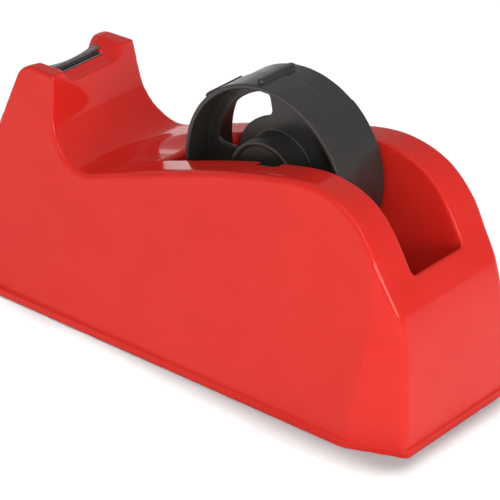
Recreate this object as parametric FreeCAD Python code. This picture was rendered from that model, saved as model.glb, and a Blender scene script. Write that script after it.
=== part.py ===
"""Bench tape dispenser: a weighted, hollow moulded body with a serrated blade on a tower at one end
and a lift-out wheel for 76 mm cores at the other.

Millimetres. +X points from the blade to the roll end, +Z is up and Y = 0 is the plane of symmetry. X is
set out from a line across the neck; the finished pieces are moved along X so that the origin is on the
bench under the middle of the body's length.
"""
import FreeCAD, Part
import math
import os
from FreeCAD import Vector

# ---------------------------------------------------------------- driving dimensions
FRONT_X = -115.0            # front of the skirt
REAR_X = 110.5              # rear of the skirt
WIDTH = 82.0                # skirt, side to side
WALL = 2.5                  # moulding thickness

FOOT_PROUD = 0.6            # the feet hold the skirt this far off the bench
SKIRT_TOP = 3.2             # top of the band around the foot of the body
SKIRT_LEDGE = 0.7           # how far that band stands out from the panels

TOWER_TOP = 91.2
TOWER_BACK_X = -67.0
FRONT_LEAN = 0.33           # millimetres back for each millimetre up
TOWER_ROUND = 8.0           # rounding of the tower's front top edge

CREASE_AT_ORIGIN = 48.0     # height of the side crease at X = 0
CREASE_RISE = 0.32          # rise of that crease along X
CREASE_HALF = 33.3          # half width at the crease
CREASE_END_X = -15.0        # the crease has faded out here
WALL_TOP_AT_ORIGIN = 76.0   # height of the straight wall tops at X = 0
WALL_TOP_RISE = 0.31
UPPER_DRAFT = 0.1615        # lean of the side above the crease
DRAFT_TOP = 100.0           # the drafted sides are built up to this height, then trimmed
RIDGE_HALF = 28.8           # half width at the outer edge of the wall tops
SIDE_EDGE_ROUND = 2.0       # rounding along that edge

CORNER_X = 88.0             # where the rear corner cut starts along the skirt
CORNER_HALF = 31.7          # half width of the skirt's rear face
FRONT_CORNER = 7.0          # rounding of the skirt's front corners

WHEEL_X = 26.2
WHEEL_Z = 75.7
CORE_RADIUS = 38.1          # the ribs fill a 76.2 mm core
DRUM_RADIUS = 36.6
DRUM_WALL = 1.8
DRUM_HALF = 12.65           # half the drum's width
RIB_ANGLES = (97.0, 140.0, 277.0, 320.0)
RIB_THICK = 3.0
RIB_ENDS = (-10.3, 9.9)     # the ribs run between these two Y values
RELIEF_ANGLES = (55.0, 235.0)   # start of each shallow relief in the drum
RELIEF_SWEEP = 85.0
RELIEF_DEPTH = 0.4
RELIEF_EDGE = 1.6           # the reliefs lie beyond this Y value
WEB_NEAR = -1.45            # the web lies between these two Y values
WEB_FAR = 0.0
WINDOW_INNER = 20.7
WINDOW_OUTER = 30.1
WINDOW_FIRST = 103.0
WINDOW_SWEEP = 73.0
WINDOW_COUNT = 2
WINDOW_CORNER = 2.6
HUB_RADIUS = 14.9
HUB_WALL = 1.8
HUB_FACE = 1.6              # thickness of the disc that closes the hub near its near end
HUB_FACE_INSET = 1.0
BUSH_RADIUS = 5.2           # tube round the axle

AXLE_RADIUS = 2.5
AXLE_FIT = 0.05             # running clearance of the wheel on its axle
AXLE_HALF = 18.2
GLIDE_RADIUS = 3.0
GLIDE_FLANGE = 5.6
SLOT_CLEARANCE = 0.3
SLOT_DEPTH = 3.7            # how far the axle slots go into the walls
SLOT_LEAN = (0.551, 0.835)  # the slots rise along this direction in X and Z

WELL_HALF = 14.9
WELL_RADIUS = 50.0          # round the wheel's axis, for the largest roll
WELL_LIP_X = 96.6
WELL_LIP_Z = 62.5
WELL_HEEL_X = 80.0          # foot of the sloping rear wall

CHANNEL_TIP_X = -44.0       # where the shallow tape channel in the neck begins
CHANNEL_TIP_Z = 60.3
CHANNEL_RISE = 0.255
CHANNEL_RADIUS = 74.0

POCKET_X = (-75.6, -72.5)   # the slot for the blade in the tower's top
POCKET_HALF = 11.2
POCKET_FLOOR = 79.0
CROWN_X = -74.8             # highest line of the saddle, where the blade bends
CROWN_Z = 88.6
LIP_X = -79.6               # front edge of the saddle, under the teeth
LIP_Z = 86.2
LIP_RISE = 1.9              # the lip climbs this much from the middle to its ends
PAD_REAR_X = -68.4
PAD_REAR_Z = 86.2
PAD_FRONT_Z = 87.3
SADDLE_HALF = 13.2
SADDLE_CORNER = 2.5
NOTCH_HALF = 18.6           # half width of the hollow in front of the blade
EAR_INNER = 16.4            # half the distance between the two ears at their tops

BLADE_HALF = 12.8
BLADE_THICK = 0.6
BLADE_GAP = 0.12            # the strip lies this far above its bed
TAB_HALF = 10.8
TOOTH_PITCH = 1.6
TOOTH_DEPTH = 1.0
CLIP_THICK = 0.4
CLIP_TOP = 87.6
WEDGE_TOP = 86.7

PLATE_BOTTOM = 1.4
PLATE_THICK = 2.4
PLATE_GAP = 0.3
FOOT_RADIUS = 8.0
FOOT_RECESS = 0.8
FEET = {
    "foot_front_left": (-92.0, 27.0),
    "foot_front_right": (-92.0, -27.0),
    "foot_rear_left": (78.0, 27.0),
    "foot_rear_right": (78.0, -27.0),
}
BOSS_RADIUS = 3.8
BOSS_TOP = 24.0
BOSSES = [(x, side * y) for x, y in ((-66.0, 30.5), (4.0, 33.5), (58.0, 34.0)) for side in (-1, 1)]
SCREW_RADIUS = 1.45
PILOT_RADIUS = 1.5
SCREW_HEAD_RADIUS = 2.9
SCREW_HEAD = 1.2
SCREW_LENGTH = 13.0

FRONT_BALLAST = (-96.0, -36.0, 25.0, 35.0)    # X from, X to, half width, height
REAR_BALLAST = (-8.0, 78.0, 26.0, 13.5)
BALLAST_CORNER = 4.0
BALLAST_SCREW_RADIUS = 2.0
BALLAST_SCREW_HEAD = 3.6
BALLAST_SCREW_LENGTH = 10.0


# ---------------------------------------------------------------- small helpers
def prism(points, half):
    """Extrude a closed outline in X and Z from Y = -half to Y = +half."""
    outline = Part.makePolygon([Vector(x, -half, z) for x, z in points + points[:1]])
    return Part.Face(outline).extrude(Vector(0, 2 * half, 0))


def box(x0, x1, y0, y1, z0, z1):
    return Part.makeBox(x1 - x0, y1 - y0, z1 - z0, Vector(x0, y0, z0))


def post(x, y, z0, z1, radius):
    return Part.makeCylinder(radius, z1 - z0, Vector(x, y, z0))


def across(radius, y0, y1, x=WHEEL_X, z=WHEEL_Z):
    """A cylinder along Y, by default on the wheel's axis."""
    return Part.makeCylinder(radius, y1 - y0, Vector(x, y0, z), Vector(0, 1, 0))


def tube(outer, inner, y0, y1):
    return across(outer, y0, y1).cut(across(inner, y0 - 1, y1 + 1))


def on_wheel(angle, radius, y=0.0):
    a = math.radians(angle)
    return Vector(WHEEL_X + radius * math.cos(a), y, WHEEL_Z + radius * math.sin(a))


def vertical_edges(shape):
    return [e for e in shape.Edges
            if abs(e.Vertexes[0].X - e.Vertexes[-1].X) < 1e-6
            and abs(e.Vertexes[0].Y - e.Vertexes[-1].Y) < 1e-6]


# ---------------------------------------------------------------- body
def contour():
    """The top line of the body in X and Z, from the tower's rear edge to the foot of the rear face."""
    poles = [
        (TOWER_BACK_X, TOWER_TOP), (-66.0, 83.0), (-65.5, 72.5), (-60.5, 64.0), (-49.0, 57.5),
        (-37.0, 63.5), (-10.0, 72.5), (20.0, 83.0), (44.5, 89.0), (61.0, 92.5), (79.5, 88.0),
        (89.5, 77.0), (98.0, 61.0), (106.0, 50.0), (107.5, 24.0), (REAR_X - SKIRT_LEDGE, 0.0),
    ]
    curve = Part.BSplineCurve()
    curve.buildFromPoles([Vector(x, 0, z) for x, z in poles], False, 3)
    return curve.toShape()


def side_view(half):
    """The body's outline from the side, extruded to Y = -half and +half."""
    foot_x = FRONT_X + SKIRT_LEDGE
    top_x = foot_x + FRONT_LEAN * TOWER_TOP
    lean = math.atan2(1.0, FRONT_LEAN)
    reach = TOWER_ROUND * math.tan((math.pi - lean) / 2) ** -1
    toe = Vector(top_x - reach * math.cos(lean), 0, TOWER_TOP - reach * math.sin(lean))
    heel = Vector(top_x + reach, 0, TOWER_TOP)
    centre = Vector(heel.x, 0, TOWER_TOP - TOWER_ROUND)
    middle = (toe - centre) + (heel - centre)
    middle = centre + middle.normalize() * TOWER_ROUND
    front = Vector(foot_x, 0, 0)
    back = Vector(TOWER_BACK_X, 0, TOWER_TOP)
    rear = Vector(REAR_X - SKIRT_LEDGE, 0, 0)
    outline = Part.Wire([
        Part.makeLine(front, toe),
        Part.Arc(toe, middle, heel).toShape(),
        Part.makeLine(heel, back),
        contour(),
        Part.makeLine(rear, front),
    ])
    outline.translate(Vector(0, -half, 0))
    return Part.Face(outline).extrude(Vector(0, 2 * half, 0))


def side_stations(inset):
    """Rows of control points down one side, front to rear: foot, crease and top of each section."""
    foot = WIDTH / 2 - SKIRT_LEDGE - inset
    ridge = RIDGE_HALF - inset
    rows = []
    for x in (-120.5, -60.0, CREASE_END_X):
        crease = CREASE_AT_ORIGIN + CREASE_RISE * x
        top = CREASE_HALF - UPPER_DRAFT * (DRAFT_TOP - crease)
        rows.append(((x, foot, 0.0), (x, CREASE_HALF - inset, crease), (x, top - inset, DRAFT_TOP)))
    # behind the end of the crease the side is straight from its foot to the wall top
    for x in (8.0, 36.0):
        crease = CREASE_AT_ORIGIN + CREASE_RISE * x
        lean = (foot - ridge) / (WALL_TOP_AT_ORIGIN + WALL_TOP_RISE * x)
        top = foot - lean * DRAFT_TOP
        rows.append(((x, foot, 0.0), (x, foot - lean * crease, crease), (x, top, DRAFT_TOP)))
    # from here the top edge turns down towards the rear corner
    rows.append(((58.0, foot, 0.0), (58.0, ridge + 3.4, 66.0), (58.0, ridge - 1.5, 101.0)))
    rows.append(((76.0, foot, 0.0), (77.5, ridge + 3.7, 62.0), (79.0, ridge - 1.1, 96.0)))
    rows.append(((85.0, foot, 0.0), (89.0, ridge + 4.4, 50.0), (94.5, ridge + 0.4, 84.0)))
    tail = (CORNER_HALF - (WIDTH / 2 - SKIRT_LEDGE)) / (REAR_X - SKIRT_LEDGE - CORNER_X)
    tail_rows = ((90.0, 11.0, -9.3, 62.0), (100.0, 6.5, -7.4, 50.0), (116.0, -3.0, -2.2, 40.0))
    for x, lean_x, lean_y, rise in tail_rows:
        y = foot + tail * (x - CORNER_X)
        rows.append(((x, y, 0.0), (x + lean_x / 2, y + lean_y / 2, rise / 2), (x + lean_x, y + lean_y, rise)))
    return rows


def side_faces(inset, side):
    """The panel below the crease and the panel above it, each ruled from row to row."""
    rows = side_stations(inset)
    count = len(rows)
    knots = [float(k) for k in range(count - 2)]
    multiples = [4] + [1] * (count - 4) + [4]
    faces = []
    for low in (0, 1):
        poles = [[Vector(x, side * y, z) for x, y, z in row[low:low + 2]] for row in rows]
        surface = Part.BSplineSurface()
        surface.buildFromPolesMultsKnots(
            poles, multiples, [2, 2], knots, [0.0, 1.0], False, False, 3, 1)
        faces.append(surface.toShape())
    return faces


def drafted_sides(inset):
    """The space between the two drafted sides."""
    faces = []
    for panel in side_faces(inset, -1):
        faces.append(panel)
        faces.append(panel.mirror(Vector(0, 0, 0), Vector(0, 1, 0)))
    near = Part.makeShell(side_faces(inset, -1))
    near.sewShape()
    rim = [e for e in near.Edges if len(near.ancestorsOfType(e, Part.Face)) == 1]
    for edge in rim:
        faces.append(Part.makeRuledSurface(edge, edge.mirror(Vector(0, 0, 0), Vector(0, 1, 0))))
    shell = Part.makeShell(faces)
    shell.sewShape()
    solid = Part.makeSolid(shell)
    if solid.Volume < 0:
        solid.reverse()
    return solid


def skirt(inset, z0, z1):
    """The plan outline of the foot of the body, between two heights."""
    half = WIDTH / 2 - inset
    front = FRONT_X + inset
    rear = REAR_X - inset
    tail = CORNER_HALF - inset
    points = [
        (front, -half), (CORNER_X, -half), (rear, -tail), (rear, tail), (CORNER_X, half), (front, half),
    ]
    outline = Part.makePolygon([Vector(x, y, z0) for x, y in points + points[:1]])
    solid = Part.Face(outline).extrude(Vector(0, 0, z1 - z0))
    corners = [e for e in vertical_edges(solid) if e.Vertexes[0].X < front + 1.0]
    return solid.makeFillet(FRONT_CORNER - inset, corners)


def well(grow):
    """The roll's well: a round front and floor about the wheel's axis and a sloping rear wall."""
    half = WELL_HALF + grow
    floor = WHEEL_Z - WELL_RADIUS - grow
    slope = (WELL_LIP_X - WELL_HEEL_X) / (WELL_LIP_Z - WHEEL_Z + WELL_RADIUS)
    above = 130.0
    bay = prism([
        (WHEEL_X, floor), (WELL_HEEL_X + grow, floor),
        (WELL_HEEL_X + grow + slope * (above - floor), above), (WHEEL_X, above),
    ], half)
    heel = [e for e in bay.Edges
            if abs(e.Vertexes[0].X - WELL_HEEL_X - grow) < 1e-6
            and abs(e.Vertexes[-1].X - WELL_HEEL_X - grow) < 1e-6]
    bay = bay.makeFillet(12.0 + grow, heel)
    round_front = across(WELL_RADIUS + grow, -half, half)
    over = box(WHEEL_X - WELL_RADIUS - grow, WHEEL_X, -half, half, WHEEL_Z, above)
    return round_front.fuse(bay).fuse(over)


def axle_slot(radius, y0, y1, length):
    """A round-ended slot that rises from the axle's seat."""
    seat = across(radius, y0, y1)
    run = box(0, length, y0, y1, -radius, radius)
    run.rotate(Vector(0, 0, 0), Vector(0, -1, 0), math.degrees(math.atan2(SLOT_LEAN[1], SLOT_LEAN[0])))
    run.translate(Vector(WHEEL_X, 0, WHEEL_Z))
    return seat.fuse(run)


def saddle_trough(front, rear):
    """A trough with eased lower corners and flared sides, between the tower's two ears."""
    high = TOWER_TOP + 10.0
    flare = (EAR_INNER - SADDLE_HALF) / (TOWER_TOP - PAD_REAR_Z)
    half = [
        (SADDLE_HALF - SADDLE_CORNER / 2, PAD_REAR_Z),
        (SADDLE_HALF - SADDLE_CORNER / 8, PAD_REAR_Z + SADDLE_CORNER / 6),
        (SADDLE_HALF + SADDLE_CORNER / 4, PAD_REAR_Z + SADDLE_CORNER / 2),
        (SADDLE_HALF + flare * (high - PAD_REAR_Z), high),
    ]
    section = half + [(-y, z) for y, z in reversed(half)]
    outline = Part.makePolygon([Vector(front, y, z) for y, z in section + section[:1]])
    return Part.Face(outline).extrude(Vector(rear - front, 0, 0))


def saddle_cut():
    """The space above the tape rest and the blade, between the two ears."""
    half = EAR_INNER + 1.0
    base = PAD_REAR_Z - 6.0
    rest = prism([
        (CROWN_X, CROWN_Z - BLADE_GAP), (POCKET_X[1], PAD_FRONT_Z), (PAD_REAR_X, PAD_REAR_Z),
        (PAD_REAR_X, base), (CROWN_X, base),
    ], half)
    trough = saddle_trough(FRONT_X, PAD_REAR_X + 10.0)
    return trough.cut(rest).cut(blade_slope(half, -BLADE_GAP, -8.0))


def blade_slope(half, lift, depth):
    """A slab under or over the slope of the blade: straight at the crown, hollowed along the lip."""
    rise = LIP_RISE * (half / SADDLE_HALF) ** 2
    crown = CROWN_Z + lift
    low = LIP_Z + lift
    back = Part.makeLine(Vector(CROWN_X, -half, crown), Vector(CROWN_X, half, crown))
    lip = Part.Arc(
        Vector(LIP_X, -half, low + rise), Vector(LIP_X, 0, low), Vector(LIP_X, half, low + rise)).toShape()
    return Part.makeRuledSurface(back, lip).extrude(Vector(0, 0, depth))


def front_notch():
    """The hollow in front of the blade that clears the teeth and the torn tape."""
    return prism([
        (LIP_X, 79.5), (LIP_X, 110.0), (FRONT_X, 110.0), (FRONT_X, 60.0), (-86.4, 75.0)], NOTCH_HALF)


def tape_channel():
    """A shallow scoop in the neck that leads the tape up from the roll."""
    run = Vector(1.0, 0, CHANNEL_RISE).normalize()
    up = Vector(-run.z, 0, run.x)
    start = Vector(CHANNEL_TIP_X, 0, CHANNEL_TIP_Z) + up * CHANNEL_RADIUS - run * 10.0
    scoop = Part.makeCylinder(CHANNEL_RADIUS, 60.0, start, run)
    return scoop.common(box(CHANNEL_TIP_X, WHEEL_X - 20.0, -WELL_HALF, WELL_HALF, 50.0, 110.0))


def cavity():
    """The hollow inside the moulding."""
    roof = [
        (-111.0, -1.0), (-110.0, 3.0), (-88.0, 68.5), (-80.5, 77.0), (-70.0, 77.0), (-68.5, 70.0),
        (-63.0, 60.5), (-49.0, 55.5), (-36.0, 60.0), (20.0, 79.0), (46.0, 86.0), (62.0, 88.2),
        (72.0, 86.0), (82.0, 80.0), (90.0, 69.0), (97.5, 56.0), (102.0, 45.0), (105.5, 3.0), (105.5, -1.0),
    ]
    return prism(roof, 60.0).common(drafted_sides(WALL))


def body_shell():
    outer = side_view(60.0).common(drafted_sides(0.0))
    ridges = [e for e in outer.Edges if e.Length > 235.0 and max(v.Z for v in e.Vertexes) > TOWER_TOP - 1.0]
    outer = outer.Solids[0].makeFillet(SIDE_EDGE_ROUND, ridges)
    block = outer.common(box(-200, 200, -60, 60, SKIRT_TOP - 1.0, 200))
    block = block.fuse(skirt(0.0, FOOT_PROUD, SKIRT_TOP))
    hollow = cavity()
    hollow = hollow.cut(well(WALL))
    for side in (-1, 1):
        y0, y1 = sorted((side * WELL_HALF, side * (WELL_HALF + SLOT_DEPTH + WALL)))
        hollow = hollow.cut(axle_slot(GLIDE_RADIUS + SLOT_CLEARANCE + WALL, y0, y1, 20.0))
    for x, y in BOSSES:
        hollow = hollow.cut(post(x, y, PLATE_BOTTOM + PLATE_THICK, BOSS_TOP, BOSS_RADIUS))
    seat = skirt(WALL + 0.6, -1.0, PLATE_BOTTOM + PLATE_THICK)
    shell = block.cut(hollow).cut(seat)
    shell = shell.cut(well(0.0)).cut(saddle_cut()).cut(front_notch()).cut(tape_channel())
    shell = shell.cut(box(POCKET_X[0], POCKET_X[1], -POCKET_HALF, POCKET_HALF, POCKET_FLOOR, 110.0))
    for side in (-1, 1):
        y0, y1 = sorted((side * (WELL_HALF - 1.0), side * (WELL_HALF + SLOT_DEPTH)))
        shell = shell.cut(axle_slot(GLIDE_RADIUS + SLOT_CLEARANCE, y0, y1, 40.0))
    for x, y in BOSSES:
        shell = shell.cut(post(x, y, 0.0, BOSS_TOP - 2.0, PILOT_RADIUS))
    return shell


# ---------------------------------------------------------------- base, feet and ballast
def ballast_screw_places():
    places = []
    for x0, x1, half, top in (FRONT_BALLAST, REAR_BALLAST):
        middle = (x0 + x1) / 2
        places += [(middle - 16.0, 0.0), (middle + 16.0, 0.0)]
    return places


def base_plate():
    plate = skirt(WALL + 0.6 + PLATE_GAP, PLATE_BOTTOM, PLATE_BOTTOM + PLATE_THICK)
    for x, y in FEET.values():
        plate = plate.cut(post(x, y, 0.0, PLATE_BOTTOM + FOOT_RECESS, FOOT_RADIUS + 0.2))
    for x, y in BOSSES:
        plate = plate.cut(post(x, y, 0.0, 10.0, SCREW_RADIUS + 0.25))
        plate = plate.cut(post(x, y, 0.0, PLATE_BOTTOM + SCREW_HEAD, SCREW_HEAD_RADIUS + 0.3))
    for x, y in ballast_screw_places():
        plate = plate.cut(post(x, y, 0.0, 10.0, BALLAST_SCREW_RADIUS + 0.25))
        plate = plate.cut(post(x, y, 0.0, PLATE_BOTTOM + SCREW_HEAD, BALLAST_SCREW_HEAD + 0.3))
    return plate


def foot(x, y):
    pad = post(x, y, 0.0, PLATE_BOTTOM + FOOT_RECESS, FOOT_RADIUS)
    rim = [e for e in pad.Edges if len(e.Vertexes) == 1 and e.Vertexes[0].Z < 0.1]
    return pad.makeChamfer(0.5, rim)


def screws(places, radius, head_radius, length):
    """One group of separate cross-recessed screws, heads down."""
    group = []
    for x, y in places:
        z0 = PLATE_BOTTOM + 0.1
        screw = post(x, y, z0, PLATE_BOTTOM + SCREW_HEAD, head_radius)
        screw = screw.fuse(post(x, y, z0, z0 + length, radius))
        for turn in (0, 90):
            slot = box(-head_radius * 0.6, head_radius * 0.6, -0.35, 0.35, z0 - 0.5, z0 + 0.6)
            slot.rotate(Vector(0, 0, 0), Vector(0, 0, 1), turn)
            slot.translate(Vector(x, y, 0))
            screw = screw.cut(slot)
        group.append(screw)
    return Part.makeCompound(group)


def ballast(x0, x1, half, height):
    floor = PLATE_BOTTOM + PLATE_THICK
    block = box(x0, x1, -half, half, floor, floor + height)
    block = block.makeFillet(BALLAST_CORNER, vertical_edges(block))
    top = [e for e in block.Edges if min(v.Z for v in e.Vertexes) > floor + height - 0.1]
    block = block.makeChamfer(1.5, top)
    for x, y in ballast_screw_places():
        block = block.cut(post(x, y, 0.0, floor + BALLAST_SCREW_LENGTH, BALLAST_SCREW_RADIUS + 0.05))
    return block


# ---------------------------------------------------------------- blade
def blade():
    """A bent steel strip: a toothed tongue that dips to the front and a tab down in the pocket."""
    strip = blade_slope(BLADE_HALF, 0.0, BLADE_THICK)
    count = int(2 * BLADE_HALF / TOOTH_PITCH)
    first = -count * TOOTH_PITCH / 2
    for i in range(count):
        y = first + i * TOOTH_PITCH
        gap = Part.makePolygon([
            Vector(LIP_X - 0.1, y - TOOTH_PITCH / 2, 80.0), Vector(LIP_X + TOOTH_DEPTH, y, 80.0),
            Vector(LIP_X - 0.1, y + TOOTH_PITCH / 2, 80.0), Vector(LIP_X - 0.1, y - TOOTH_PITCH / 2, 80.0),
        ])
        strip = strip.cut(Part.Face(gap).extrude(Vector(0, 0, 12.0)))
    tab = box(CROWN_X - BLADE_THICK, CROWN_X, -TAB_HALF, TAB_HALF, POCKET_FLOOR + 1.0, CROWN_Z + 0.3)
    return strip.fuse(tab)


def blade_clip():
    """A drawn steel tray that traps the tab against the front of the pocket."""
    x0 = CROWN_X + 0.02
    x1 = POCKET_X[1] - 0.05
    half = POCKET_HALF - 0.1
    low = POCKET_FLOOR + 0.5
    tray = box(x0, x1, -half, half, low, CLIP_TOP)
    bore = half - CLIP_THICK
    inside = box(x0 + CLIP_THICK, x1 - CLIP_THICK, -bore, bore, low + CLIP_THICK, 100.0)
    return tray.cut(inside)


def blade_wedge():
    x0 = CROWN_X + 0.02 + CLIP_THICK + 0.05
    x1 = POCKET_X[1] - 0.05 - CLIP_THICK - 0.05
    half = POCKET_HALF - 0.1 - CLIP_THICK - 0.1
    wedge = box(x0, x1, -half, half, POCKET_FLOOR + 0.5 + CLIP_THICK + 0.1, WEDGE_TOP)
    top = [e for e in wedge.Edges if min(v.Z for v in e.Vertexes) > WEDGE_TOP - 0.1]
    return wedge.makeChamfer(0.25, top)


# ---------------------------------------------------------------- wheel
def window(first):
    """One opening in the web: part of a ring with rounded corners."""
    last = first + WINDOW_SWEEP
    middle = (first + last) / 2
    y = WEB_NEAR - 1.0
    outline = Part.Wire([
        Part.Arc(on_wheel(first, WINDOW_OUTER, y), on_wheel(middle, WINDOW_OUTER, y),
                 on_wheel(last, WINDOW_OUTER, y)).toShape(),
        Part.makeLine(on_wheel(last, WINDOW_OUTER, y), on_wheel(last, WINDOW_INNER, y)),
        Part.Arc(on_wheel(last, WINDOW_INNER, y), on_wheel(middle, WINDOW_INNER, y),
                 on_wheel(first, WINDOW_INNER, y)).toShape(),
        Part.makeLine(on_wheel(first, WINDOW_INNER, y), on_wheel(first, WINDOW_OUTER, y)),
    ])
    hole = Part.Face(outline).extrude(Vector(0, WEB_FAR - WEB_NEAR + 2.0, 0))
    corners = [e for e in hole.Edges
               if abs(e.Vertexes[0].Y - e.Vertexes[-1].Y) > 1.0]
    return hole.makeFillet(WINDOW_CORNER, corners)


def rib(angle):
    """A bar along the drum with rounded ends and a rounded top."""
    half = RIB_THICK / 2
    near, far = RIB_ENDS
    height = CORE_RADIUS - DRUM_RADIUS + 1.0
    bar = Part.makeBox(height, far - near, RIB_THICK, Vector(DRUM_RADIUS - 1.0, near, -half))
    ends = [e for e in bar.Edges
            if abs(e.Vertexes[0].X - e.Vertexes[-1].X) > 0.5]
    bar = bar.makeFillet(half - 0.1, ends)
    top = [e for e in bar.Edges if min(v.X for v in e.Vertexes) > CORE_RADIUS - 0.05]
    bar = bar.makeFillet(0.7, top)
    bar.rotate(Vector(0, 0, 0), Vector(0, -1, 0), angle)
    bar.translate(Vector(WHEEL_X, 0, WHEEL_Z))
    return bar


def relief(first):
    """A shallow step down in the drum's far half."""
    last = first + RELIEF_SWEEP
    sector = [(WHEEL_X, WHEEL_Z)]
    for angle in (first, (first + last) / 2, last):
        p = on_wheel(angle, 60.0)
        sector.append((p.x, p.z))
    skin = tube(DRUM_RADIUS + 1.0, DRUM_RADIUS - RELIEF_DEPTH, RELIEF_EDGE, DRUM_HALF + 1.0)
    return skin.common(prism(sector, 60.0))


def core_wheel():
    drum = tube(DRUM_RADIUS, DRUM_RADIUS - DRUM_WALL, -DRUM_HALF, DRUM_HALF)
    for angle in RELIEF_ANGLES:
        drum = drum.cut(relief(angle))
    for angle in RIB_ANGLES:
        drum = drum.fuse(rib(angle))
    web = tube(DRUM_RADIUS - DRUM_WALL + 0.2, HUB_RADIUS - 0.5, WEB_NEAR, WEB_FAR)
    for i in range(WINDOW_COUNT):
        web = web.cut(window(WINDOW_FIRST + i * 360.0 / WINDOW_COUNT))
    wheel = drum.fuse(web)
    wheel = wheel.fuse(tube(HUB_RADIUS, HUB_RADIUS - HUB_WALL, -DRUM_HALF, DRUM_HALF))
    face = -DRUM_HALF + HUB_FACE_INSET
    wheel = wheel.fuse(tube(HUB_RADIUS - 0.5, BUSH_RADIUS - 0.5, face, face + HUB_FACE))
    wheel = wheel.fuse(tube(BUSH_RADIUS, AXLE_RADIUS + AXLE_FIT, -DRUM_HALF, DRUM_HALF))
    return wheel.cut(across(AXLE_RADIUS + AXLE_FIT, -20.0, 20.0)).removeSplitter()


def axle():
    pin = across(AXLE_RADIUS, -AXLE_HALF, AXLE_HALF)
    ends = [e for e in pin.Edges if len(e.Vertexes) == 1 or e.Vertexes[0].isSame(e.Vertexes[-1])]
    ends = [e for e in ends if abs(abs(e.Vertexes[0].Y) - AXLE_HALF) < 1e-6]
    return pin.makeChamfer(0.4, ends)


def axle_glide(side):
    """A nylon collar: its flange keeps the wheel central, and its shank slides in the slot."""
    flange = sorted((side * (DRUM_HALF + 0.25), side * (WELL_HALF - 0.3)))
    shank = sorted((side * (WELL_HALF - 0.4), side * (AXLE_HALF - 0.4)))
    glide = across(GLIDE_FLANGE, *flange).fuse(across(GLIDE_RADIUS, *shank))
    return glide.cut(across(AXLE_RADIUS, -30.0, 30.0))


# ---------------------------------------------------------------- assembly
def assembly():
    pieces = {
        "body_shell": body_shell(),
        "base_plate": base_plate(),
        "base_screws": screws(BOSSES, SCREW_RADIUS, SCREW_HEAD_RADIUS, SCREW_LENGTH),
        "front_ballast": ballast(*FRONT_BALLAST),
        "rear_ballast": ballast(*REAR_BALLAST),
        "ballast_screws": screws(
            ballast_screw_places(), BALLAST_SCREW_RADIUS, BALLAST_SCREW_HEAD, BALLAST_SCREW_LENGTH),
        "blade": blade(),
        "blade_clip": blade_clip(),
        "blade_wedge": blade_wedge(),
        "core_wheel": core_wheel(),
        "axle": axle(),
        "axle_glide_left": axle_glide(1),
        "axle_glide_right": axle_glide(-1),
    }
    for name, (x, y) in FEET.items():
        pieces[name] = foot(x, y)
    return pieces


def main():
    os.makedirs("parts", exist_ok=True)
    middle = (FRONT_X + REAR_X) / 2
    for name, shape in assembly().items():
        shape.translate(Vector(-middle, 0, 0))
        print(f"{name:18s} solids {len(shape.Solids)} valid {shape.isValid()} volume {shape.Volume:9.0f}")
        shape.exportStep(f"parts/{name}.step")


main()
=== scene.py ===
"""Looks of the bench tape dispenser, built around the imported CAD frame.

Shapes are worked out in millimetres, with X measured from a line across the neck that lies 2.25 mm
behind the frame's origin, and turned into metres in the frame's own place when the meshes are made.
Body and wheel are signed distance fields, so that every edge has its moulded radius.
"""

import math

import bpy
import numpy as np
from mathutils import Matrix, Vector


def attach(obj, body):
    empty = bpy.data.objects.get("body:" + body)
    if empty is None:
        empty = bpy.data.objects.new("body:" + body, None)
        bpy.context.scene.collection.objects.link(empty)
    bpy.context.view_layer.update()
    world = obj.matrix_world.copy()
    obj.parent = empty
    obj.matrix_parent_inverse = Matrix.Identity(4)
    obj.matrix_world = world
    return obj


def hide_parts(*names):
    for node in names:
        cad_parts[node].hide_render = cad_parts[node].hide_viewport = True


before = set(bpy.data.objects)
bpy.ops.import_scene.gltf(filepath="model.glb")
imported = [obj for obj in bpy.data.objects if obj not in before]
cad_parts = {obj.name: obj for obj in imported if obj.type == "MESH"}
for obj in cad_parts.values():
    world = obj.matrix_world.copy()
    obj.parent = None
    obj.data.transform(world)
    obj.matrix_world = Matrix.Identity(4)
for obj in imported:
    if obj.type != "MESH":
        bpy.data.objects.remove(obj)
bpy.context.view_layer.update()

MM = 0.001
SHIFT = 2.25        # from the line across the neck to the frame's origin


# ---------------------------------------------------------------- distance fields
def round_max(a, b, r):
    """Where two fields meet: the larger one, with the outer edge between them rounded by r."""
    return np.minimum(-r, np.maximum(a, b)) + np.hypot(np.maximum(a + r, 0), np.maximum(b + r, 0))


def round_min(a, b, r):
    """Two fields joined, with the inner corner between them filled by r."""
    return -round_max(-a, -b, r)


def carve(solid, tool, r):
    """Takes a tool's field out of a solid's and rounds the rim by r."""
    return round_max(solid, -tool, r)


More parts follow.
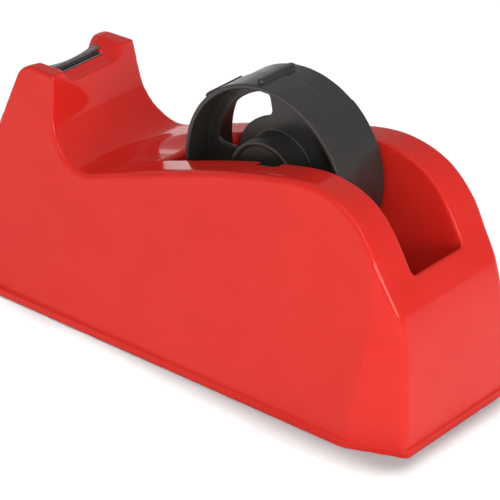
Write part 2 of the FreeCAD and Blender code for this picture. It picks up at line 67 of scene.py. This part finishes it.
class Outline:
    """Signed distance to a closed outline in X and Z, kept on a fine table."""

    def __init__(self, points, pitch=0.4):
        self.low = np.array([-121.0, -6.0])
        self.pitch = pitch
        xs = np.arange(self.low[0], 116.0, pitch)
        zs = np.arange(self.low[1], 98.0, pitch)
        x, z = np.meshgrid(xs, zs, indexing="ij")
        nearest = np.full(x.shape, 1e9)
        inside = np.zeros(x.shape, bool)
        for (ax, az), (bx, bz) in zip(points, np.roll(points, -1, axis=0)):
            dx, dz = bx - ax, bz - az
            span = dx * dx + dz * dz
            if span < 1e-12:
                continue
            t = np.clip(((x - ax) * dx + (z - az) * dz) / span, 0, 1)
            nearest = np.minimum(nearest, (x - ax - t * dx) ** 2 + (z - az - t * dz) ** 2)
            if az != bz:
                crossing = (az > z) != (bz > z)
                inside ^= crossing & (x < ax + (z - az) * dx / dz)
        self.table = np.where(inside, -1, 1) * np.sqrt(nearest)

    def __call__(self, x, z):
        u = np.clip((x - self.low[0]) / self.pitch, 0, self.table.shape[0] - 1.001)
        v = np.clip((z - self.low[1]) / self.pitch, 0, self.table.shape[1] - 1.001)
        i, k = u.astype(int), v.astype(int)
        u, v = u - i, v - k
        t = self.table
        return ((t[i, k] * (1 - u) + t[i + 1, k] * u) * (1 - v)
                + (t[i, k + 1] * (1 - u) + t[i + 1, k + 1] * u) * v)


def spline(poles, count):
    """Points along a clamped cubic B-spline."""
    poles = np.array(poles, float)
    n = len(poles)
    knots = np.concatenate([[0.0] * 3, np.arange(n - 2), [n - 3.0] * 3])
    t = np.linspace(0, n - 3 - 1e-9, count)
    basis = ((knots[:-1] <= t[:, None]) & (t[:, None] < knots[1:])).astype(float)
    for degree in (1, 2, 3):
        higher = np.zeros((count, basis.shape[1] - 1))
        for i in range(higher.shape[1]):
            rise = knots[i + degree] - knots[i]
            fall = knots[i + degree + 1] - knots[i + 1]
            if rise > 0:
                higher[:, i] += (t - knots[i]) / rise * basis[:, i]
            if fall > 0:
                higher[:, i] += (knots[i + degree + 1] - t) / fall * basis[:, i + 1]
        basis = higher
    return basis @ poles


def arc(cx, cz, radius, start, end, count):
    """Points along an arc, from one angle to another in degrees."""
    a = np.radians(np.linspace(start, end, count))
    return np.stack([cx + radius * np.cos(a), cz + radius * np.sin(a)], axis=1)


# ---------------------------------------------------------------- body
TOWER_TOP = 91.2
FRONT_LEAN = 0.33               # X gained per millimetre of height up the front
FOOT_X = -114.3                 # the front face carried down to the bench
SKIRT_FRONT = -115.0
SKIRT_REAR = 110.5
SKIRT_HALF = 41.0
SKIRT_TOP = 3.18
GAP_BELOW = 0.12                # from the bench to the skirt's edge
WHEEL = (26.2, 75.7)            # X and Z of the axle
WELL_HALF = 14.9
BEND_X = -74.8                  # where the blade's bed gives way to the tape rest
BLADE_HALF = 12.8
BED_HALF = 13.2                 # half width of the blade's bed at the lip
BED_TOP = 88.48
LIP_X = -79.6                   # front of the bed
NOTCH_HALF = 18.6               # half width of the hollow in front of the blade
SCOOP_RADIUS = 74.0
SCOOP_X = -44.0                 # front end of the tape channel
SLOT_RUN = (0.551, 0.835)       # direction of the axle slots
CONTOUR = spline([
    (-67.0, 91.2), (-66.0, 83.0), (-65.5, 72.5), (-60.5, 64.0), (-49.0, 57.5), (-37.0, 63.5),
    (-10.0, 72.5), (20.0, 83.0), (44.5, 89.0), (61.0, 92.5), (79.5, 88.0), (89.5, 77.0),
    (98.0, 61.0), (106.0, 50.0), (107.5, 24.0), (109.8, 0.0)], 360)


def body_profile():
    """The body from the side: leaning front, rounded tower, then the long top line."""
    top_x = FOOT_X + FRONT_LEAN * TOWER_TOP
    lean = math.degrees(math.atan2(1.0, FRONT_LEAN))
    radius = 8.0
    reach = radius / math.tan(math.radians(180 - lean) / 2)
    nose = arc(top_x + reach, TOWER_TOP - radius, radius, lean + 90, 90, 24)
    foot = [(FOOT_X - 6 * FRONT_LEAN, -6.0)]
    return Outline(np.concatenate([foot, nose, CONTOUR, [(109.8, -6.0)]]))


def well_profile():
    """The roll's well from the side: a round front, a flat floor and a leaning rear wall."""
    cx, cz = WHEEL
    radius = 50.0
    floor = cz - radius
    slope = (96.6 - 80.0) / (62.5 - floor)
    heel = 12.0
    reach = heel * math.tan(math.radians(90 - math.degrees(math.atan(slope))) / 2)
    front = arc(cx, cz, radius, 180, 270, 60)
    back = arc(80.0 - reach, floor + heel, heel, 270, 360 - math.degrees(math.atan(slope)), 20)
    return Outline(np.concatenate([
        [(cx - radius, 140.0)], front, back, [(80.0 + slope * (140.0 - floor), 140.0)]]))


PROFILE = body_profile()
WELL = well_profile()
REAR = CONTOUR[CONTOUR[:, 0] > 62.0][::-1]


def half_width(x, z):
    """Half the body's width: flared at the foot, with a crease that fades towards the roll."""
    crease = 48 + 0.32 * x
    flared = 40.3 - 7.0 * z / np.maximum(crease, 8.0)
    upper = 33.3 - 0.1615 * (z - crease)
    fade = 0.25 * np.clip((-15 - x) / 45, 0, 1)
    front = np.maximum(flared, upper) + fade * np.exp(-((flared - upper) / 0.9) ** 2)
    straight = 40.3 - 11.5 * z / np.minimum(76 + 0.31 * np.maximum(x, -15), 91.0)
    side = np.where(x < -15, front, straight)
    corner = np.interp(z, (0, 50, 62, 70, 80), (31.7, 29.4, 30.1, 30.7, 31.0))
    rear = corner + 0.394 * (np.interp(z, REAR[:, 1], REAR[:, 0]) - x)
    blend = 1.0 + 2.5 * np.clip(z / 45, 0, 1)
    return round_min(side, rear, blend)


def foot_plan(x, ay):
    """The body's foot from above: rounded front corners and cut rear ones."""
    front = round_max(SKIRT_FRONT - x, ay - SKIRT_HALF, 7.0)
    tail = (x - 88.0) * 0.382 + (ay - SKIRT_HALF) * 0.924
    return round_max(round_max(front, tail, 1.0), x - SKIRT_REAR, 1.0)


def saddle(x, ay, z):
    """The open space over the blade and the tape rest, between the two ears."""
    lip = 86.08 + 1.9 * (ay / BED_HALF) ** 2
    bed = BED_TOP + (x - BEND_X) * (BED_TOP - lip) / (BEND_X - LIP_X)
    rest = np.interp(x, (BEND_X, -72.5, -68.4, -60.0), (BED_TOP, 87.3, 86.2, 86.0))
    floor = np.where(x < BEND_X, bed, rest)
    wall = BED_HALF + 0.62 * (z - 86.2) + 0.03 * np.clip(x + 71.5, 0, 10) ** 2
    corner = 0.6 + 1.9 * np.clip((x + 75.5) / 2.5, 0, 1)
    return np.maximum(round_max((floor - z) * 0.9, (ay - wall) * 0.85, corner), x + 60)


def notch(x, ay, z):
    """The hollow in front of the teeth."""
    under = (x - LIP_X) * 0.552 - (z - 79.5) * 0.834
    return round_max(round_max(x - LIP_X, under, 1.2), ay - NOTCH_HALF, 2.5)


def tape_scoop(x, ay, z):
    """The shallow channel that leads the tape up the neck."""
    run = np.array([1.0, 0.255]) / math.hypot(1.0, 0.255)
    axis_x = SCOOP_X - SCOOP_RADIUS * run[1]
    axis_z = 60.3 + SCOOP_RADIUS * run[0]
    off = (x - axis_x) * -run[1] + (z - axis_z) * run[0]
    trough = np.hypot(off, ay) - SCOOP_RADIUS
    return np.maximum(round_max(trough, ay - WELL_HALF, 0.4), SCOOP_X - x)


def axle_slot(x, ay, z):
    """The slots in the walls that the axle drops into."""
    dx, dz = x - WHEEL[0], z - WHEEL[1]
    along = np.clip(dx * SLOT_RUN[0] + dz * SLOT_RUN[1], 0, 40)
    gap = np.hypot(dx - SLOT_RUN[0] * along, dz - SLOT_RUN[1] * along) - 3.3
    return round_max(gap, ay - 18.6, 0.4)


def body_field(x, y, z):
    """The whole moulding: tower edges are tighter than the neck's, and the front foot's are wide."""
    ay = np.abs(y)
    edge = 0.8 + 1.2 * np.clip((x + 62) / 25, 0, 1)
    edge += 4.0 * np.clip((-86 - x) / 22, 0, 1) * np.clip(1 - z / 35, 0, 1)
    solid = round_max(PROFILE(x, z), (ay - half_width(x, z)) / 1.02, edge)
    plan = foot_plan(x, ay)
    band = round_max(plan, np.maximum(GAP_BELOW - z, z - SKIRT_TOP), 0.3)
    solid = np.maximum(round_min(round_max(solid, GAP_BELOW - z, 0.3), band, 1.0), plan)
    solid = carve(solid, np.maximum(plan + 3.1, z - 3.8), 0.3)
    solid = carve(solid, tape_scoop(x, ay, z), 0.5)
    solid = carve(solid, round_max(WELL(x, z), ay - WELL_HALF, 1.6), 1.3)
    solid = carve(solid, axle_slot(x, ay, z), 0.4)
    solid = carve(solid, saddle(x, ay, z), 0.5)
    solid = carve(solid, notch(x, ay, z), 0.4)
    pocket = np.maximum(np.maximum(np.abs(x + 74.05) - 1.55, ay - 11.2), 79.0 - z)
    return carve(solid, pocket, 0.25)


# ---------------------------------------------------------------- wheel
WHEEL_HALF = 12.65
DRUM_INNER = 34.8
DRUM_OUTER = 36.6
BARS = (97.0, 140.0, 277.0, 320.0)      # where each stands round the drum, in degrees
RELIEFS = (97.5, 277.5)
WINDOWS = (139.5, 319.5)


def ring(r, y, inner, outer, half, edge):
    """A tube about the axle with rounded rims."""
    return round_max(np.abs(r - (inner + outer) / 2) - (outer - inner) / 2, np.abs(y) - half, edge)


def turned(angle, centre):
    """Angle from a centre, in radians, between minus and plus half a turn."""
    return np.radians((angle - centre + 180) % 360 - 180)


def wheel_field(x, y, z):
    """Drum with reliefs and bars, web with windows, closed hub and bush."""
    dx, dz = x - WHEEL[0], z - WHEEL[1]
    r = np.hypot(dx, dz)
    angle = np.degrees(np.arctan2(dz, dx))
    solid = ring(r, y, DRUM_INNER, DRUM_OUTER, WHEEL_HALF, 0.35)
    for centre in RELIEFS:
        sector = (np.abs(turned(angle, centre)) - math.radians(42.5)) * r
        solid = carve(solid, np.maximum(np.maximum(36.2 - r, 1.6 - y), sector), 0.3)
    for centre in BARS:
        a = turned(angle, centre)
        across = r * np.sin(a)
        past = np.maximum(np.abs(y + 0.2) - 8.6, 0)
        bar = round_max(np.hypot(across, past) - 1.5, np.abs(r * np.cos(a) - 36.55) - 1.5, 0.5)
        solid = round_min(solid, bar, 0.3)
    web = np.maximum(np.abs(y + 0.725) - 0.725, np.abs(r - 24.8) - 10.4)
    for centre in WINDOWS:
        sector = (np.abs(turned(angle, centre)) - math.radians(36.5)) * r
        web = carve(web, round_max(np.abs(r - 25.4) - 4.7, sector, 2.6), 0.3)
    solid = round_min(solid, web, 0.5)
    solid = round_min(solid, ring(r, y, 13.1, 14.9, WHEEL_HALF, 0.35), 0.5)
    face = np.maximum(np.abs(y + 10.85) - 0.8, np.abs(r - 9.3) - 4.9)
    solid = round_min(solid, face, 0.4)
    bush = ring(r, y, 2.55, 5.2, WHEEL_HALF, 0.3)
    return round_min(solid, bush, 0.5)


# ---------------------------------------------------------------- meshes from fields
def steps(*runs):
    """Grid lines: each run is (from, to, pitch)."""
    lines = [np.linspace(a, b, max(2, int(round((b - a) / pitch)) + 1))[:-1] for a, b, pitch in runs]
    return np.concatenate(lines + [[runs[-1][1]]])


def net(values, axes, wrap):
    """One vertex in each cell that the surface crosses, and a quad across each edge it crosses.

    With wrap, the first axis closes on itself.
    """
    cells = [n - 1 for n in values.shape]
    low = values < 0
    count = sum(
        low[i:i + cells[0], j:j + cells[1], k:k + cells[2]].astype(np.int8)
        for i in (0, 1) for j in (0, 1) for k in (0, 1))
    mixed = (count > 0) & (count < 8)
    index = np.full(cells, -1)
    index[mixed] = np.arange(mixed.sum())
    total = np.zeros((mixed.sum(), 3))
    hits = np.zeros(mixed.sum())
    quads = []
    period = axes[0][-1] - axes[0][0]
    for axis in range(3):
        ahead = np.roll(values, -1, axis)
        crossed = (values < 0) != (ahead < 0)
        last = [slice(None)] * 3
        last[axis] = -1
        crossed[tuple(last)] = False
        if wrap and axis:
            crossed[-1] = False
        edge = np.argwhere(crossed)
        a, b = values[crossed], ahead[crossed]
        point = np.stack([axes[i][edge[:, i]] for i in range(3)], axis=1)
        point[:, axis] += a / (a - b) * (axes[axis][edge[:, axis] + 1] - axes[axis][edge[:, axis]])
        u, v = [i for i in range(3) if i != axis]
        corners = []
        whole = np.ones(len(edge), bool)
        for du, dv in ((0, 0), (-1, 0), (-1, -1), (0, -1)):
            cell = edge.copy()
            cell[:, u] += du
            cell[:, v] += dv
            place = point.copy()
            if wrap:
                around = cell[:, 0] < 0
                cell[around, 0] += cells[0]
                place[around, 0] += period
            ok = ((cell >= 0) & (cell < cells)).all(axis=1)
            whole &= ok
            cell = np.clip(cell, 0, np.array(cells) - 1)
            found = index[cell[:, 0], cell[:, 1], cell[:, 2]]
            corners.append(found)
            for i in range(3):
                total[:, i] += np.bincount(found[ok], place[ok, i], len(total))
            hits += np.bincount(found[ok], minlength=len(total))
        quad = np.stack(corners, axis=1)
        flip = (a < 0) != (axis == 1)
        quad[~flip] = quad[~flip][:, ::-1]
        quads.append(quad[whole])
    return total / hits[:, None], np.concatenate(quads)


def settle(points, quads, field, reach=0.6):
    """Moves the vertices onto the surface and evens out their spacing along it."""
    def slope(p):
        h = 0.02
        out = np.empty_like(p)
        for i in range(3):
            step = np.zeros(3)
            step[i] = h
            out[:, i] = (field(*(p + step).T) - field(*(p - step).T)) / (2 * h)
        return out

    def drop(p):
        g = slope(p)
        size = np.maximum((g * g).sum(axis=1), 0.2)
        move = (field(*p.T) / size)[:, None] * g
        length = np.maximum(np.linalg.norm(move, axis=1), 1e-12)
        return p - move * np.minimum(1, reach / length)[:, None], g

    ends = np.concatenate([quads[:, [i, (i + 1) % 4]] for i in range(4)])
    count = np.bincount(ends[:, 0], minlength=len(points)) + 1e-9
    for _ in range(3):
        points, g = drop(points)
        mean = np.stack([
            np.bincount(ends[:, 0], points[ends[:, 1], i], len(points)) for i in range(3)], axis=1)
        mean /= count[:, None]
        normal = g / np.maximum(np.linalg.norm(g, axis=1), 1e-9)[:, None]
        pull = mean - points
        pull -= (pull * normal).sum(axis=1)[:, None] * normal
        points = points + 0.4 * pull
    for _ in range(3):
        points, g = drop(points)
    return points


def add_mesh(name, points, faces):
    """A mesh object from points in millimetres and an array of triangles or quads."""
    mesh = bpy.data.meshes.new(name)
    faces = np.asarray(faces, np.int32)
    sides = faces.shape[1]
    mesh.vertices.add(len(points))
    placed = (np.asarray(points) + (SHIFT, 0, 0)) * MM
    mesh.vertices.foreach_set("co", placed.astype(np.float32).ravel())
    mesh.loops.add(faces.size)
    mesh.loops.foreach_set("vertex_index", faces.ravel())
    mesh.polygons.add(len(faces))
    mesh.polygons.foreach_set("loop_start", np.arange(len(faces), dtype=np.int32) * sides)
    mesh.update(calc_edges=True)
    mesh.validate()
    mesh.shade_smooth()
    piece = bpy.data.objects.new(name, mesh)
    bpy.context.scene.collection.objects.link(piece)
    return piece


def body_mesh():
    """The moulding, on a grid that is finer round the tower and the skirt."""
    xs = steps((-116.5, -90, 1.3), (-90, -65, 0.45), (-65, 112, 1.3))
    ys = steps((-42, -18, 1.3), (-18, -10, 0.5), (-10, 10, 1.2), (10, 18, 0.5), (18, 42, 1.3))
    zs = steps((0, 5, 0.36), (5, 74, 1.3), (74, 92.4, 0.5))
    grid = np.meshgrid(xs, ys, zs, indexing="ij")
    points, quads = net(body_field(*grid), (xs, ys, zs), False)
    return settle(points, quads, body_field), quads


def wheel_mesh():
    """The wheel, on a grid of angle, radius and Y."""
    turns = steps((0, 360, 1.2))
    radii = steps(
        (1.8, 6.2, 0.4), (6.2, 12.2, 1.2), (12.2, 15.8, 0.4), (15.8, 33.8, 0.9), (33.8, 39.0, 0.4))
    ys = steps((-13.2, -11, 0.25), (-11, -2.4, 1.0), (-2.4, 2.2, 0.27), (2.2, 11, 1.0), (11, 13.2, 0.25))
    angle, r, y = np.meshgrid(turns, radii, ys, indexing="ij")
    x = WHEEL[0] + r * np.cos(np.radians(angle))
    z = WHEEL[1] + r * np.sin(np.radians(angle))
    polar, quads = net(wheel_field(x, y, z), (turns, radii, ys), True)
    a = np.radians(polar[:, 0])
    points = np.stack(
        [WHEEL[0] + polar[:, 1] * np.cos(a), polar[:, 2], WHEEL[1] + polar[:, 1] * np.sin(a)], axis=1)
    return settle(points, quads[:, ::-1], wheel_field, reach=0.3), quads[:, ::-1]


def blade_mesh():
    """A bent strip: a tab in the pocket, a crown and a slope down to the toothed lip."""
    teeth = 16
    per = 8
    columns = teeth * per + 1
    tab_half = 10.8
    y = np.linspace(-BLADE_HALF, BLADE_HALF, columns)
    wave = np.abs((np.arange(columns) / per * 2) % 2 - 1)
    lip_x = LIP_X + 1 - wave
    lip_z = 86.2 + 1.9 * (y / BED_HALF) ** 2
    rows = []
    for z in (80.0, 83.0, 86.0, 87.9):
        rows.append((np.full(columns, -75.1), y * tab_half / BLADE_HALF, np.full(columns, z)))
    for angle in (0.0, 20.0, 40.0, 60.0, 80.0):
        a = math.radians(angle)
        wide = y * (tab_half + (BLADE_HALF - tab_half) * math.sin(a)) / BLADE_HALF
        x, z = -75.6 + 0.5 * math.cos(a), 88.35 + 0.5 * math.sin(a)
        rows.append((np.full(columns, x), wide, np.full(columns, z)))
    start_x, start_z = -75.5, 88.75
    for t in np.linspace(0.15, 1.0, 10):
        rows.append((start_x + (lip_x - start_x) * t, y, start_z + (lip_z + 0.4 - start_z) * t))
    middle = np.array([np.stack(row, axis=1) for row in rows])
    along = np.gradient(middle, axis=0)
    side = np.gradient(middle, axis=1)
    normal = np.cross(along, side)
    normal /= np.linalg.norm(normal, axis=2)[:, :, None]
    taper = np.ones(len(rows))
    taper[-3:] = (0.8, 0.5, 0.12)
    off = normal * (0.275 * taper)[:, None, None]
    count = len(rows) * columns
    points = np.concatenate([(middle + off).reshape(-1, 3), (middle - off).reshape(-1, 3)])
    i, j = np.meshgrid(np.arange(len(rows) - 1), np.arange(columns - 1), indexing="ij")
    a = (i * columns + j).ravel()
    top = np.stack([a, a + columns, a + columns + 1, a + 1], axis=1)
    faces = [top[:, ::-1], top + count]
    rim = np.concatenate([
        np.arange(columns), np.arange(1, len(rows)) * columns + columns - 1,
        (len(rows) - 1) * columns + np.arange(columns - 2, -1, -1),
        np.arange(len(rows) - 2, 0, -1) * columns])
    after = np.roll(rim, -1)
    faces.append(np.stack([rim, rim + count, after + count, after], axis=1))
    return points, np.concatenate(faces)


# ---------------------------------------------------------------- materials
class Finish:
    """A material whose nodes are added one call at a time."""

    def __init__(self, name):
        self.material = bpy.data.materials.new(name)
        self.material.use_nodes = True
        self.tree = self.material.node_tree
        self.shader = self.tree.nodes["Principled BSDF"]
        coordinates = self.tree.nodes.new("ShaderNodeTexCoord")
        self.place = coordinates.outputs["Object"]

    def node(self, kind, inputs=None, **settings):
        made = self.tree.nodes.new(kind)
        for key, value in settings.items():
            setattr(made, key, value)
        for key, value in (inputs or {}).items():
            if isinstance(value, bpy.types.NodeSocket):
                self.tree.links.new(value, made.inputs[key])
            else:
                made.inputs[key].default_value = value
        return made

    def noise(self, scale, detail=4.0, stretch=None):
        """Cloudy noise; stretch gives its scale along each axis."""
        place = self.place
        if stretch:
            place = self.node("ShaderNodeMapping", {"Vector": place, "Scale": stretch}).outputs["Vector"]
        return self.node("ShaderNodeTexNoise", {
            "Vector": place, "Scale": scale, "Detail": detail}).outputs["Fac"]

    def ramp(self, factor, stops):
        """Turns a factor into a colour between the stops."""
        made = self.node("ShaderNodeValToRGB", {"Fac": factor})
        elements = made.color_ramp.elements
        while len(elements) < len(stops):
            elements.new(0.5)
        for element, (position, color) in zip(elements, stops):
            element.position = position
            element.color = (*color, 1.0)
        return made.outputs["Color"]

    def span(self, factor, low, high):
        """Turns a factor around one half into a value between low and high."""
        return self.node("ShaderNodeMapRange", {
            "Value": factor, "From Min": 0.3, "From Max": 0.7, "To Min": low, "To Max": high,
        }).outputs["Result"]

    def bump(self, heights):
        """Stacks bumps: (height, strength, distance in metres)."""
        normal = None
        for height, strength, distance in heights:
            inputs = {"Height": height, "Strength": strength, "Distance": distance}
            if normal:
                inputs["Normal"] = normal
            normal = self.node("ShaderNodeBump", inputs).outputs["Normal"]
        self.tree.links.new(normal, self.shader.inputs["Normal"])

    def set(self, **values):
        """Sets or links the shader's own inputs, named with underscores for spaces."""
        for key, value in values.items():
            socket = self.shader.inputs[key.replace("_", " ")]
            if isinstance(value, bpy.types.NodeSocket):
                self.tree.links.new(value, socket)
            else:
                socket.default_value = value


def plastic(name, dark, light, rough, grain, gloss=0.5):
    """Moulded plastic: a cloudy pigment, satin patches and a fine skin."""
    finish = Finish(name)
    cloud = finish.noise(60.0, 5.0)
    finish.set(Base_Color=finish.ramp(cloud, [(0.35, dark), (0.65, light)]))
    finish.set(Roughness=finish.span(finish.noise(220.0, 6.0), rough - 0.03, rough + 0.03))
    finish.bump([
        (finish.noise(grain, 3.0), 0.04, 0.00002),
        (finish.noise(40.0, 2.0), 0.008, 0.0002)])
    finish.set(IOR=1.5, Specular_IOR_Level=gloss)
    return finish.material


def metal(name, dark, light, rough, stretch):
    """Rolled or drawn metal: fine lines along one way and a little uneven tarnish."""
    finish = Finish(name)
    lines = finish.noise(40.0, 8.0, stretch)
    finish.set(Metallic=1.0, Base_Color=finish.ramp(finish.noise(300.0, 6.0), [(0.3, dark), (0.7, light)]))
    finish.set(Roughness=finish.span(lines, rough - 0.08, rough + 0.1))
    finish.bump([(lines, 0.12, 0.00005), (finish.noise(900.0, 3.0), 0.05, 0.00003)])
    return finish.material


red = plastic("red_plastic", (0.70, 0.021, 0.014), (0.72, 0.025, 0.017), 0.09, 2600.0, gloss=0.22)
wheel_black = plastic("wheel_plastic", (0.025, 0.023, 0.021), (0.032, 0.030, 0.027), 0.31, 3200.0)
black = plastic("black_plastic", (0.018, 0.017, 0.017), (0.026, 0.024, 0.024), 0.45, 1800.0)
nylon = plastic("nylon", (0.024, 0.024, 0.026), (0.034, 0.034, 0.036), 0.42, 2200.0)
rubber = plastic("rubber", (0.016, 0.016, 0.017), (0.028, 0.028, 0.029), 0.75, 1500.0)
blade_steel = metal("blade_steel", (0.20, 0.17, 0.18), (0.27, 0.23, 0.24), 0.30, (1.0, 60.0, 1.0))
clip_steel = metal("clip_steel", (0.42, 0.41, 0.42), (0.55, 0.54, 0.55), 0.34, (60.0, 1.0, 1.0))
axle_steel = metal("axle_steel", (0.52, 0.52, 0.53), (0.64, 0.64, 0.65), 0.26, (40.0, 1.0, 40.0))
zinc = metal("zinc_screw", (0.48, 0.49, 0.50), (0.62, 0.63, 0.64), 0.36, (30.0, 30.0, 1.0))
iron = metal("iron", (0.10, 0.095, 0.09), (0.16, 0.15, 0.14), 0.62, (6.0, 6.0, 6.0))

CAD_FINISHES = {
    "base_plate": black, "base_screws": zinc, "front_ballast": iron, "rear_ballast": iron,
    "ballast_screws": zinc, "blade_clip": clip_steel, "blade_wedge": black,
    "foot_front_left": rubber, "foot_front_right": rubber, "foot_rear_left": rubber,
    "foot_rear_right": rubber, "axle": axle_steel, "axle_glide_left": nylon, "axle_glide_right": nylon,
}
for node_name, material in CAD_FINISHES.items():
    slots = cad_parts[node_name].data.materials
    slots.clear()
    slots.append(material)


# ---------------------------------------------------------------- pieces
def place(name, shape, material, body, node, slot):
    """A detailed piece that rides on a body and stands in for a CAD node."""
    piece = add_mesh(name, *shape)
    piece.data.materials.append(material)
    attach(piece, body)
    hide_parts(node)


place("moulded_body", body_mesh(), red, "body", "body_shell", "red_plastic")
place("core_wheel_looks", wheel_mesh(), wheel_black, "wheel", "core_wheel", "wheel_plastic")
place("toothed_blade", blade_mesh(), blade_steel, "body", "blade", "blade_steel")


# ---------------------------------------------------------------- floor, light and camera
def floor():
    """A plain pale sheet with a weak glow of its own."""
    half = 6.0
    mesh = bpy.data.meshes.new("floor")
    corners = [(-half, -half, 0), (half, -half, 0), (half, half, 0), (-half, half, 0)]
    mesh.from_pydata(corners, [], [(0, 1, 2, 3)])
    sheet = bpy.data.objects.new("floor", mesh)
    bpy.context.scene.collection.objects.link(sheet)
    finish = Finish("floor")
    paper = finish.ramp(finish.noise(3.0), [(0.3, (0.35, 0.35, 0.35)), (0.7, (0.37, 0.37, 0.37))])
    finish.set(Base_Color=paper, Roughness=finish.span(finish.noise(30.0), 0.8, 0.9))
    finish.set(Specular_IOR_Level=0.1, Emission_Color=(1.0, 1.0, 1.0, 1.0), Emission_Strength=0.1)
    mesh.materials.append(finish.material)
    return sheet


def softbox(name, at, towards, along, width, height, power):
    """An area light whose width runs as near to along as facing its target allows."""
    lamp = bpy.data.lights.new(name, "AREA")
    lamp.shape = "RECTANGLE"
    lamp.size = width
    lamp.size_y = height
    lamp.energy = power
    holder = bpy.data.objects.new(name, lamp)
    back = (Vector(at) - Vector(towards)).normalized()
    side = Vector(along)
    side = (side - back * side.dot(back)).normalized()
    turn = Matrix((side, back.cross(side), back)).transposed()
    holder.matrix_world = Matrix.Translation(at) @ turn.to_4x4()
    bpy.context.scene.collection.objects.link(holder)


def contact_shadow(sheet):
    """A soft light from above and behind that only the floor receives."""
    lamp = bpy.data.lights.new("overhead", "SUN")
    lamp.angle = math.radians(11.0)
    lamp.energy = 6.3
    holder = bpy.data.objects.new("overhead", lamp)
    holder.rotation_mode = "QUATERNION"
    holder.rotation_quaternion = Vector((0.23, -0.22, -1.0)).to_track_quat("-Z", "Y")
    bpy.context.scene.collection.objects.link(holder)
    receivers = bpy.data.collections.new("floor_only")
    receivers.objects.link(sheet)
    holder.light_linking.receiver_collection = receivers


def studio():
    """Even white surroundings, with a strip, a panel on the right and a small one behind."""
    world = bpy.data.worlds.new("studio")
    bpy.context.scene.world = world
    world.use_nodes = True
    background = world.node_tree.nodes["Background"]
    background.inputs["Color"].default_value = (1.0, 1.0, 1.0, 1.0)
    background.inputs["Strength"].default_value = 0.46
    softbox("strip", (0.48, -0.7, 0.83), (0, 0, 0.06), (1.45, -0.2, -0.95), 1.75, 0.022, 5.0)
    softbox("right", (1.4, -0.6, 0.42), (0, 0, 0.04), (0.6, 1.4, 0), 0.7, 0.5, 7.0)
    softbox("back", (-1.062, 0.979, 0.19), (0, 0, 0.07), (0.979, 1.062, 0), 0.05, 0.32, 0.05)
    bpy.context.scene.view_settings.view_transform = "Standard"


def photo_camera():
    """The camera, from its three axes and its place."""
    lens = bpy.data.cameras.new("camera")
    lens.lens = 220.25
    lens.sensor_width = 36.0
    lens.clip_end = 50.0
    holder = bpy.data.objects.new("camera", lens)
    right = Vector((0.77314, 0.63391, 0.02020))
    up = Vector((-0.31606, 0.35748, 0.87882))
    back = Vector((0.54987, -0.68583, 0.47673))
    turn = Matrix((right, up, back)).transposed()
    stand = Vector((643.60, -785.92, 582.47)) * MM
    holder.matrix_world = Matrix.Translation(stand) @ turn.to_4x4()
    bpy.context.scene.collection.objects.link(holder)
    bpy.context.scene.camera = holder


contact_shadow(floor())
studio()
photo_camera()
